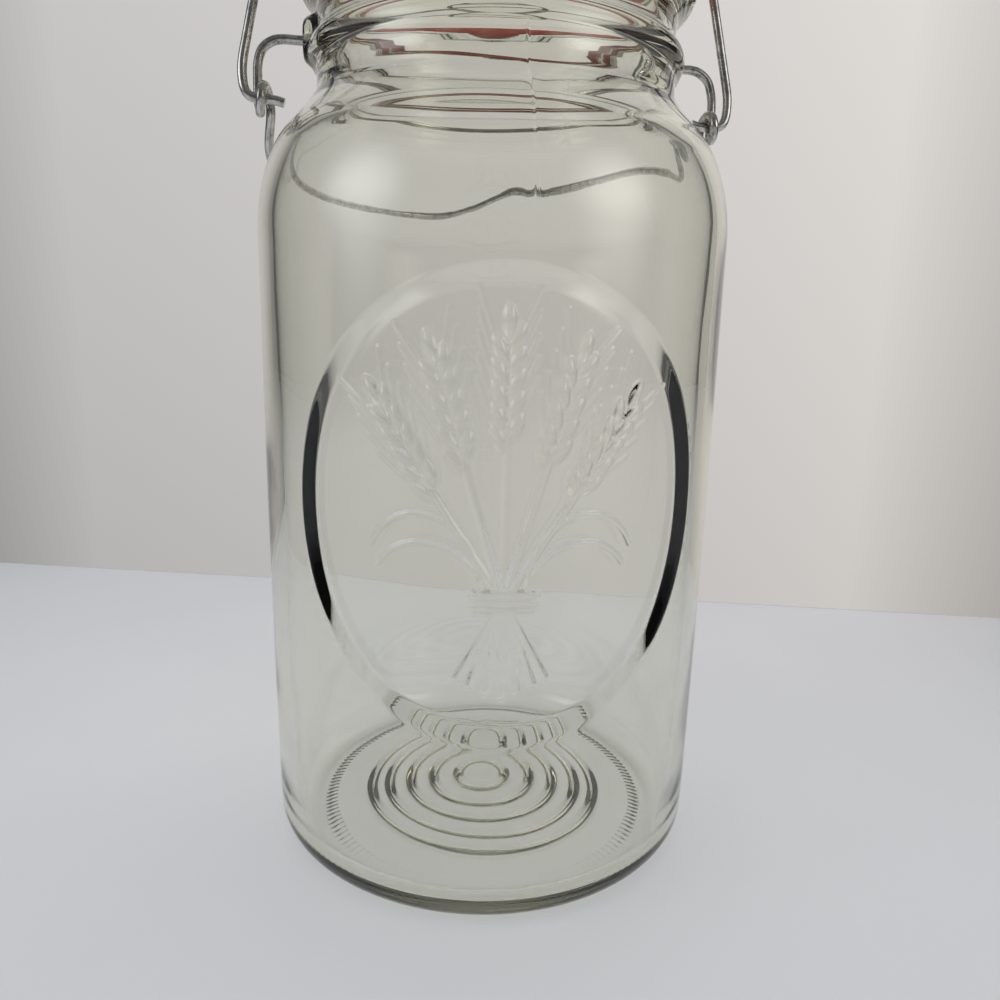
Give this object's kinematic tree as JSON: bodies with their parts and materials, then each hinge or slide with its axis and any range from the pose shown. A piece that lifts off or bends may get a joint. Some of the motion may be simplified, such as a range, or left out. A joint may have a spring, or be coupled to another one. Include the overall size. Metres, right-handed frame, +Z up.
{
  "type": "wire bail canning jar",
  "caption": "Clear glass canning jar with a sunk oval medallion, a glass lid on a rubber ring, and a wire bail that an over-centre wire lever pulls down.",
  "frame": {"origin": "centre of the jar's base, on the surface it stands on", "axes": "+Z up the jar's axis, X along the closure's pivots, the medallion on the -Y side"},
  "size_m": [0.12, 0.1162, 0.2343],
  "materials": {
    "jar_glass": "clear pressed glass with a grey-green cast",
    "lid_glass": "clear pressed glass",
    "seal_rubber": "matt red rubber",
    "wire_steel": "dull galvanised wire"
  },
  "bodies": {
    "jar": {"jar_body": "jar_glass", "lid_glass": "lid_glass", "rubber_ring": "seal_rubber"},
    "lever": {"lever_wire": "wire_steel"},
    "bail": {"bail_wire": "wire_steel"}
  },
  "joints": [
    {"name": "lever_swing", "type": "hinge", "parent": "jar", "child": "lever", "pos_m": [0, 0, 0.1978], "axis": [1, 0, 0], "range_deg": [0, 75]},
    {"name": "bail_swing", "type": "hinge", "parent": "lever", "child": "bail", "pos_m": [0, -0.004, 0.1836], "axis": [1, 0, 0], "range_deg": [-75, 0]}
  ],
  "couplings": [
    {"joint": "bail_swing", "follows": "lever_swing", "ratio": -1}
  ]
}
